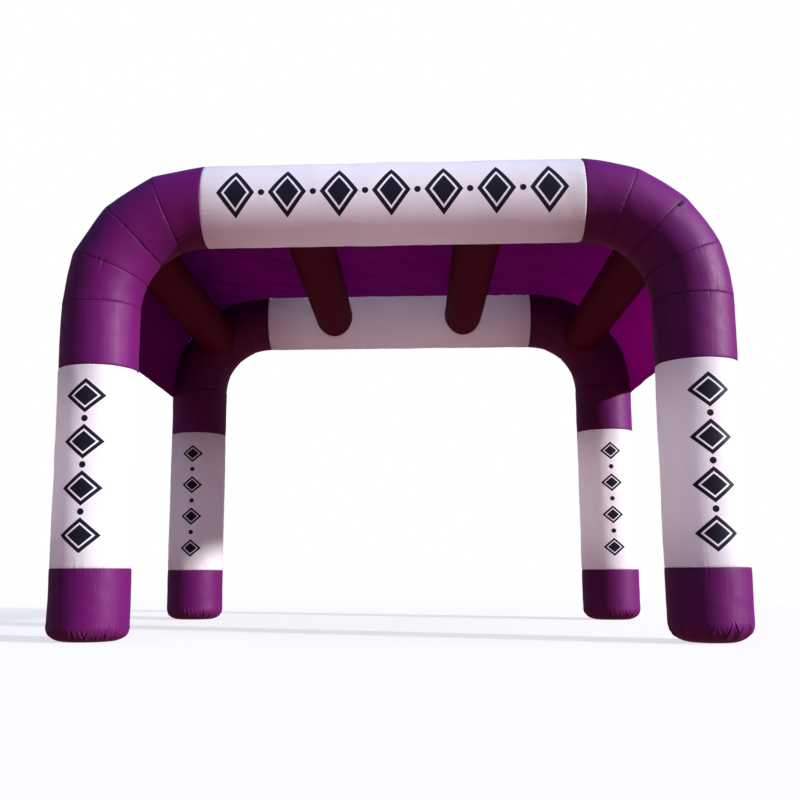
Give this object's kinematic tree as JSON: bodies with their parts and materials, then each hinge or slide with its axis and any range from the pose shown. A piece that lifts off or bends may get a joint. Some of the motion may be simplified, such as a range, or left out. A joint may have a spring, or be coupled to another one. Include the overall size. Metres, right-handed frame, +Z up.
{
  "type": "inflatable arch tent",
  "caption": "Free-standing inflatable arch tent: purple and white air-filled tube arches joined by air tubes under a draped purple roof sheet.",
  "frame": {"origin": "on the ground in the middle of the four feet, at the centre of the underside of the bounding box", "axes": "+Z up, +X to the right along the arches' beams, +Y from the front arch to the rear arch"},
  "size_m": [6, 5.114, 4.262],
  "materials": {
    "purple_cloth": "satin coated cloth, rich purple",
    "white_cloth": "satin coated cloth, white",
    "canopy_cloth": "thin coated cloth, purple, lets light through",
    "webbing": "woven webbing, nearly black"
  },
  "bodies": {
    "root": {"front_foot_left": "purple_cloth", "front_leg_band_left": "white_cloth", "front_upper_leg_left": "purple_cloth", "front_gore_left_1": "purple_cloth", "front_gore_left_2": "purple_cloth", "front_gore_left_3": "purple_cloth", "front_gore_left_4": "purple_cloth", "front_foot_right": "purple_cloth", "front_leg_band_right": "white_cloth", "front_upper_leg_right": "purple_cloth", "front_gore_right_1": "purple_cloth", "front_gore_right_2": "purple_cloth", "front_gore_right_3": "purple_cloth", "front_gore_right_4": "purple_cloth", "front_beam_band": "white_cloth", "rear_foot_left": "purple_cloth", "rear_leg_band_left": "white_cloth", "rear_upper_leg_left": "purple_cloth", "rear_gore_left_1": "purple_cloth", "rear_gore_left_2": "purple_cloth", "rear_gore_left_3": "purple_cloth", "rear_gore_left_4": "purple_cloth", "rear_foot_right": "purple_cloth", "rear_leg_band_right": "white_cloth", "rear_upper_leg_right": "purple_cloth", "rear_gore_right_1": "purple_cloth", "rear_gore_right_2": "purple_cloth", "rear_gore_right_3": "purple_cloth", "rear_gore_right_4": "purple_cloth", "rear_beam_band": "white_cloth", "mid_purlin_left": "purple_cloth", "eave_purlin_left": "purple_cloth", "mid_purlin_right": "purple_cloth", "eave_purlin_right": "purple_cloth", "canopy": "canopy_cloth", "guy_tab": "webbing"}
  },
  "joints": []
}
